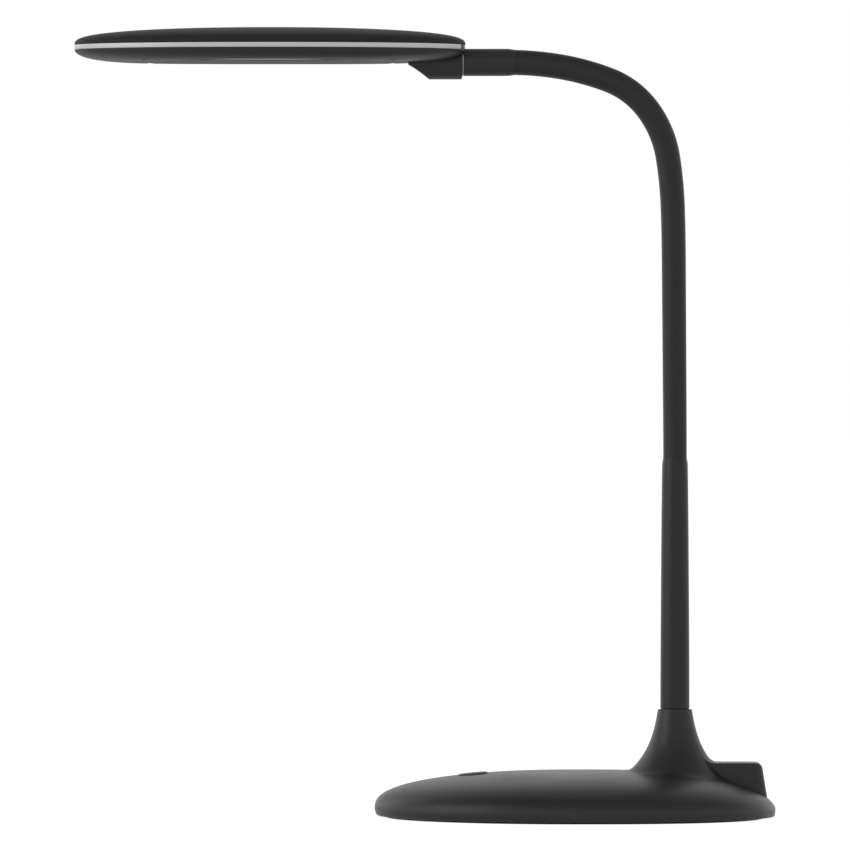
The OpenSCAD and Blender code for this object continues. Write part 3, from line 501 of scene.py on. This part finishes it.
def port_block(name, inset, back_round, side_round):
    """A block with rounded top and back corners, whose back leans in towards the top."""
    half, top, corner = PORT_HALF - inset, PORT_TOP - inset, PORT_CORNER - inset
    turn = np.linspace(0, math.pi / 2, 10)
    rings = []
    for z in [PORT_LOW] + [top - back_round * (1 - v) for v in edge_steps(0, 90, 12)]:
        lean = (z - PORT_LOW) / (PORT_TOP - PORT_LOW)
        back = PORT_BACK_LOW + (PORT_BACK_TOP - PORT_BACK_LOW) * lean - inset
        back -= back_round - math.sqrt(max(0, back_round ** 2 - max(0, z - top + back_round) ** 2))
        side = half - side_round
        side += math.sqrt(max(0, side_round ** 2 - max(0, z - top + side_round) ** 2))
        x = back - corner + corner * np.sin(turn)
        y = side - corner + corner * np.cos(turn)
        plan_x = np.concatenate([[PORT_FRONT], x, x[::-1], [PORT_FRONT, PORT_FRONT]])
        plan_y = np.concatenate([[-side], -y, y[::-1], [side, -side]])
        rings.append(level_ring(plan_x, plan_y, z))
    middle = np.tile([(PORT_FRONT + PORT_BACK_TOP) / 2, 0.0, 0.0], (len(rings[0]), 1))
    return skin(name, [middle + [0, 0, PORT_LOW]] + rings + [middle + [0, 0, top]], base_plastic)


def port_fillet():
    """The hollow curve that leads from the cone onto the top of the port's housing."""
    start, knee, end = (16.21, 30.8), (18.56, PORT_TOP - 0.02), (23.0, PORT_TOP - 0.02)
    curve = [tuple((1 - v) ** 2 * a + 2 * v * (1 - v) * b + v * v * c
                   for a, b, c in zip(start, knee, end)) for v in np.linspace(0, 1, 12)]
    profile = [(15.2, 30.8)] + curve + [(23.4, 26.0), (18.4, 26.0)]
    fillet = lathe("fillet", profile + profile[:1], base_plastic, at=(POLE_X, 0, 0))
    half = PORT_HALF - 0.05
    carve(fillet, box_tool("fillet end tool", (PORT_FRONT, -half, 25), (POLE_X + 30, half, 32)), "INTERSECT")
    return fillet


def make_base_housing():
    """The moulded housing: oval dome, cone for the pole, seat for the button and housing for the jack."""
    housing = skin("base_housing", housing_rings(), base_plastic, loop=True)
    carve(housing, port_block("port outside", 0, 2.7, 1.0), "UNION")
    carve(housing, port_fillet(), "UNION")
    carve(housing, port_block("port inside", 2.0, 1.2, 0.5))
    seat = [(0, -6), (7.65, -6), (7.65, -0.2), (7.72, -0.06), (7.9, 0.0), (16.9, 0.0), (17.2, 0.03),
            (17.4, 0.12), (17.5, 0.3), (17.55, 1.6), (17.55, 5), (0, 5)]
    carve(housing, lathe("button seat tool", seat, base_plastic, at=(BUTTON_X, 0, DISH_Z),
                         axis=DISH_AXIS, count=128))
    mouth = [(0, -4), (JACK_R, -4), (JACK_R, 2.2), (4.1, 2.45), (4.8, 3.2), (4.8, 9), (0, 9)]
    carve(housing, lathe("mouth tool", mouth, base_plastic, at=JACK_AT, axis=(1, 0, 0), count=64))
    smooth(housing, 34)
    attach(housing, "base")
    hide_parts("base_shell")


def make_pole():
    """The slightly tapering pole, with a groove where it leaves the cone."""
    foot = [(4.05, POLE_LOW), (POLE_R, POLE_LOW), (POLE_R, 53.0), (7.05, 53.2), (7.05, 54.4)]
    taper = [(7.3, 54.65), (7.28, 65), (7.22, 80), (7.06, 108), (6.84, 140), (6.6, 165), (6.44, 176.5),
             (5.95, POLE_TOP)]
    inside = [(3.45, POLE_TOP), (3.45, 176.5), (5.2, 175.5), (5.8, 35.5), (4.05, 33.5)]
    pole = lathe("lamp_pole", foot + taper + inside + foot[:1], black_coat, at=(POLE_X, 0, 0), count=128)
    smooth(pole)
    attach(pole, "base")
    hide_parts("pole")


def make_base_cover():
    """The flat cover that closes the base from below, with a seat for each of its screws."""
    middle = np.zeros((AROUND + 1, 3))
    rings = [middle + [0, 0, 1.6], base_level(5.5, 1.6), base_level(5.5, 1.15), base_level(5.35, RIM_Z),
             base_level(3.6, RIM_Z), base_level(3.4, 1.2), base_level(3.4, COVER_TOP),
             middle + [0, 0, COVER_TOP]]
    cover = skin("base_cover", rings, base_plastic)
    hole = [(0, -1), (3.1, -1), (3.1, 2.7), (1.7, 2.7), (1.7, 6), (0, 6)]
    for x, y in COVER_SCREWS:
        carve(cover, lathe("screw seat tool", hole, base_plastic, at=(x, y, 0), count=48))
    smooth(cover)
    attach(cover, "base")
    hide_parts("bottom_cover")


def make_pad():
    """The foam rubber pad that the lamp stands on."""
    middle = np.zeros((AROUND + 1, 3))
    pad = skin("foot_pad", [middle, base_level(6.0, 0.0), base_level(5.72, 0.12), base_level(5.6, 0.4),
                            base_level(5.6, PAD_TOP), middle + [0, 0, PAD_TOP]], pad_rubber)
    smooth(pad)
    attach(pad, "base")
    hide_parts("anti_slip_pad")


def make_button():
    """The round push button, with a softly rounded edge and a skirt below that keeps it in."""
    skirt = [(0, -6.2), (2.2, -6.2), (2.2, -4.45), (8.5, -4.45), (8.5, -3.45), (BUTTON_R, -3.45)]
    edge = [(BUTTON_R, -0.1), (7.47, 0.1), (7.38, 0.28), (7.2, 0.44), (6.95, 0.56), (6.6, 0.64)]
    crown = [(6.1, 0.68), (5.5, 0.7), (4.0, 0.71), (2.0, 0.72), (0, 0.72)]
    button = lathe("push_button", skirt + edge + crown, button_plastic, at=(BUTTON_X, 0, DISH_Z),
                   axis=DISH_AXIS, count=128)
    smooth(button)
    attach(button, "button")
    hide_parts("power_button")


make_base_housing()
make_pole()
make_base_cover()
make_pad()
make_button()


# ---------- neck ----------

NECK_BEND = [0.4, 0, 0, 0, 1.6, 7.2, 27, 33, 11.3, 9.5]  # degrees that each section turns
SECTION, NECK_Z0 = 25.38, 178.0
LENGTH = SECTION * len(NECK_BEND)
SLEEVE_START, SLEEVE_END, SLEEVE_R0, SLEEVE_R1, SLEEVE_IN = 1.55, LENGTH - 2.9, 5.87, 6.3, 4.9
CABLE_START, CABLE_R, CABLE_IN = -1.5, 1.1, 0.4
HOSE_SIDES = 64


def neck_line():
    """The neck's centre line and its lean from upright, every quarter millimetre."""
    fine = np.linspace(0, LENGTH, int(LENGTH * 4) + 1)
    turned = np.radians(np.concatenate([[0], np.cumsum(NECK_BEND)]))
    lean = np.interp(fine, SECTION * np.arange(len(NECK_BEND) + 1), turned)
    step = fine[1] - fine[0]
    middle = (lean[1:] + lean[:-1]) / 2
    x = POLE_X + np.concatenate([[0], np.cumsum(-np.sin(middle) * step)])
    z = NECK_Z0 + np.concatenate([[0], np.cumsum(np.cos(middle) * step)])
    return fine, lean, x, z


NECK_LINE = neck_line()


def neck_point(s):
    """Where the neck's centre line is, s along it, and how far it leans."""
    fine, lean, x, z = NECK_LINE
    return np.interp(s, fine, x), np.interp(s, fine, z), np.interp(s, fine, lean)


def neck_ring(s, r):
    """A ring of radius r square to the neck, s along it."""
    x, z, lean = neck_point(s)
    angle = turn_angles(HOSE_SIDES)
    out, side = r * np.cos(angle), r * np.sin(angle)
    return np.stack([x + out * math.cos(lean), side, z + out * math.sin(lean)], axis=1)


def hose(name, start, end, outer, inner, finish):
    """A stretch of tube along the neck, with an open bore and a ring every millimetre."""
    places = np.linspace(start, end, max(2, int(end - start) + 1))
    rings = [neck_ring(s, outer(s)) for s in places] + [neck_ring(s, inner) for s in places[::-1]]
    piece = skin(name, rings, finish, loop=True)
    smooth(piece, 40)
    return piece


def along_neck(name, start, end, outer, inner, finish, replaced):
    """Cuts a tube along the neck at each link's middle; the first stretch is hung on the base, the last on
    the last link, and the stretches between are left unattached.
    """
    cuts = [start] + [SECTION * (k + 0.5) for k in range(len(NECK_BEND))] + [end]
    last = len(cuts) - 2
    for k in range(last + 1):
        piece = hose("%s_%02d" % (name, k + 1), cuts[k], cuts[k + 1], outer, inner, finish)
        if k == 0:
            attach(piece, "base")
        elif k == last:
            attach(piece, "neck_10")
        else:
            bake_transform(piece)
        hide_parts(*replaced(k))


def make_neck():
    """The silicone sleeve, which thickens a little towards the head, and the cable inside it."""
    grow = (SLEEVE_R1 - SLEEVE_R0) / LENGTH
    along_neck("sleeve", SLEEVE_START, SLEEVE_END, lambda s: SLEEVE_R0 + grow * s, SLEEVE_IN,
               silicone, lambda k: ["neck_sleeve_%02d" % min(10, k + 1)])
    along_neck("cable", CABLE_START, LENGTH, lambda s: CABLE_R, CABLE_IN,
               wire_jacket, lambda k: ["neck_cable"])


make_neck()


# ---------- head ----------

# the oval: half its length and width, its squareness and its middle
HEAD_A, HEAD_B, HEAD_N = 97.7, 50.0, 2.2
HEAD_X, HEAD_Z = -152.42, 384.674
# the two shells and the trim between them
TRIM_H, TRIM_DEPTH, COVER_RISE, FRAME_DROP, HEAD_WALL = 2.4, 3.0, 8.75, 6.5, 1.8
FRAME_TOP, COVER_LOW = HEAD_Z - 1.25, HEAD_Z + 1.25
# the window, the panel behind it and the panel's flange, as shares of the oval
WINDOW, WINDOW_Z, FLANGE, FLANGE_Z = 0.62, FRAME_TOP - 4.0, 0.7, FRAME_TOP - 3.2
PANEL, PANEL_Z = 0.616, FRAME_TOP - 3.8
# the tongue in the trim's gap, the arm's end, and the screws
TONGUE_HALF, TONGUE_GAP = 13.0, 0.05
ARM_AT, ARM_END = (-32.92, 0, 377.2245), 22.0
HEAD_SCREWS = [(HEAD_X + x * HEAD_A * 0.62, y * HEAD_B * 0.6, FRAME_TOP)
               for x in (-1, 1) for y in (-1, 1)]
HOUSING_SLOTS_Y = (-17.4, 17.4)


def head_ring(t, z, inset=0.0):
    """A ring of the head's oval, t of the way out from its middle."""
    angle = turn_angles()
    x = HEAD_X + (HEAD_A - inset) * t * signed_power(np.cos(angle), 2 / HEAD_N)
    y = (HEAD_B - inset) * t * signed_power(np.sin(angle), 2 / HEAD_N)
    return level_ring(x, y, z)


def cover_ring(t, inset=0.0):
    """A ring of the upper shell."""
    return head_ring(t, COVER_LOW + (COVER_RISE - inset) * dome(t, 2, 3.0), inset)


def frame_ring(t, inset=0.0):
    """A ring of the lower shell, with fuller sides along the head than at its two ends."""
    front, side = (1 - np.cos(turn_angles())) / 2, np.sin(turn_angles()) ** 2
    drop = FRAME_DROP + 0.05 * side - inset
    fall = drop * dome(t, 6.5 + front + 7 * side, 2.5 - 0.55 * front - 0.75 * side)
    return head_ring(t, FRAME_TOP - fall, inset)


def make_head_cover():
    """The upper shell, a shallow dome with a softened lower edge."""
    middle = math.degrees(math.asin(0.04))
    rings = [cover_ring(t, HEAD_WALL) for t in [0] + edge_steps(middle, 88, 16)]
    rings += [head_ring(1, COVER_LOW + 0.15, HEAD_WALL), head_ring(1, COVER_LOW, HEAD_WALL - 0.15),
              head_ring(1, COVER_LOW, 0.32), head_ring(1, COVER_LOW + 0.04, 0.14),
              head_ring(1, COVER_LOW + 0.14, 0.03), head_ring(1, COVER_LOW + 0.3)]
    rings += [cover_ring(t) for t in edge_steps(middle, 89.4, 48)[::-1] + [0]]
    cover = skin("head_cover", rings, matt_plastic)
    smooth(cover)
    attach(cover, "head")
    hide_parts("head_top_cover")


def arm_end_block(name, half, low, high):
    """A block across the head's end at the arm, to cut the trim's gap and the tongue that fills it."""
    end = HEAD_X + HEAD_A
    return box_tool(name, (end - 8, -half, low), (end + 2, half, high))


def make_trim():
    """The silver band between the two shells, open at the arm."""
    low, high = HEAD_Z - TRIM_H / 2, HEAD_Z + TRIM_H / 2
    rings = [head_ring(1, low, TRIM_DEPTH), head_ring(1, low, 0.2), head_ring(1, low + 0.06, 0.06),
             head_ring(1, low + 0.2), head_ring(1, high - 0.2), head_ring(1, high - 0.06, 0.06),
             head_ring(1, high, 0.2), head_ring(1, high, TRIM_DEPTH)]
    trim = skin("silver_trim", rings, silver_paint, loop=True)
    carve(trim, arm_end_block("trim gap tool", TONGUE_HALF + TONGUE_GAP, low - 1, high + 1))
    smooth(trim)
    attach(trim, "head")
    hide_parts("trim_ring")


def lower_frame_rings():
    """The lower shell's rings: the brim that slopes in to the window, the bowl, and back inside."""
    brim = 0.8 + 0.08 * np.sin(turn_angles()) ** 2
    low = frame_ring(brim)[:, 2]
    rings = [head_ring(WINDOW, FLANGE_Z - 0.3), head_ring(WINDOW, WINDOW_Z + 0.1),
             head_ring(WINDOW + 0.003, WINDOW_Z)]
    rings += [head_ring(WINDOW + (brim - WINDOW) * v, WINDOW_Z + (low - WINDOW_Z) * v)
              for v in (0.2, 0.4, 0.6, 0.8, 0.93)]
    rings += [head_ring(brim - 0.006, low - 0.02)]
    rings += [frame_ring(brim + (0.9999 - brim) * share) for share in edge_steps(4, 89.2, 34)]
    rings += [head_ring(1, FRAME_TOP - 0.25), head_ring(1, FRAME_TOP - 0.1), head_ring(1, FRAME_TOP, 0.1),
              head_ring(1, FRAME_TOP, HEAD_WALL)]
    rings += [frame_ring(t, HEAD_WALL) for t in edge_steps(math.degrees(math.asin(0.8)), 86, 8)[::-1]]
    return rings + [head_ring(0.74, FLANGE_Z - 0.3)]


def tongue_block():
    """The tongue that stands up from the lower shell into the trim's gap."""
    low, high = FRAME_TOP - 0.2, COVER_LOW - 0.05
    tongue = skin("tongue tool", [head_ring(1, low, 2.6), head_ring(1, low, 0.3), head_ring(1, high, 0.3),
                                  head_ring(1, high, 2.6)], satin_plastic, loop=True)
    carve(tongue, arm_end_block("tongue end tool", TONGUE_HALF, FRAME_TOP - 2, high + 2), "INTERSECT")
    return tongue


def make_lower_frame():
    """The lower shell, with room for the arm and holes for the screws."""
    shell = skin("head_frame", lower_frame_rings(), satin_plastic, loop=True)
    carve(shell, tongue_block(), "UNION")
    room = [(0, 10), (7.2, 10), (7.2, ARM_END + 1), (5.1, ARM_END + 1), (5.1, ARM_END + 17),
            (0, ARM_END + 17)]
    carve(shell, lathe("arm room tool", room, satin_plastic, at=ARM_AT, axis=(-1, 0, 0)))
    bore = [(0, -9), (2.4, -9), (2.4, -2.3), (0, -2.3)]
    for place in HEAD_SCREWS:
        carve(shell, lathe("screw bore tool", bore, satin_plastic, count=48, at=place))
    for y in HOUSING_SLOTS_Y:
        carve(shell, box_tool("slot tool", (-75.4, y - 1.5, FRAME_TOP - 4.62),
                              (-71.4, y + 1.5, FRAME_TOP - 4.32)))
    smooth(shell)
    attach(shell, "head")
    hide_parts("head_lower_frame")


def make_diffuser():
    """The opal panel, set back behind the window's edge, with a flange that rests inside."""
    rings = [head_ring(t, PANEL_Z) for t in np.linspace(0, 0.6, 10)]
    rings += [head_ring(0.609, PANEL_Z + 0.05), head_ring(0.614, PANEL_Z + 0.15),
              head_ring(PANEL, PANEL_Z + 0.35), head_ring(PANEL, FLANGE_Z), head_ring(FLANGE, FLANGE_Z),
              head_ring(FLANGE, FLANGE_Z + 1), head_ring(0, FLANGE_Z + 1)]
    panel = skin("light_panel", rings, opal_acrylic)
    smooth(panel)
    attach(panel, "head")
    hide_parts("diffuser")


make_head_cover()
make_trim()
make_lower_frame()
make_diffuser()


# ---------- the end ----------

bpy.context.scene.view_settings.view_transform = "Standard"
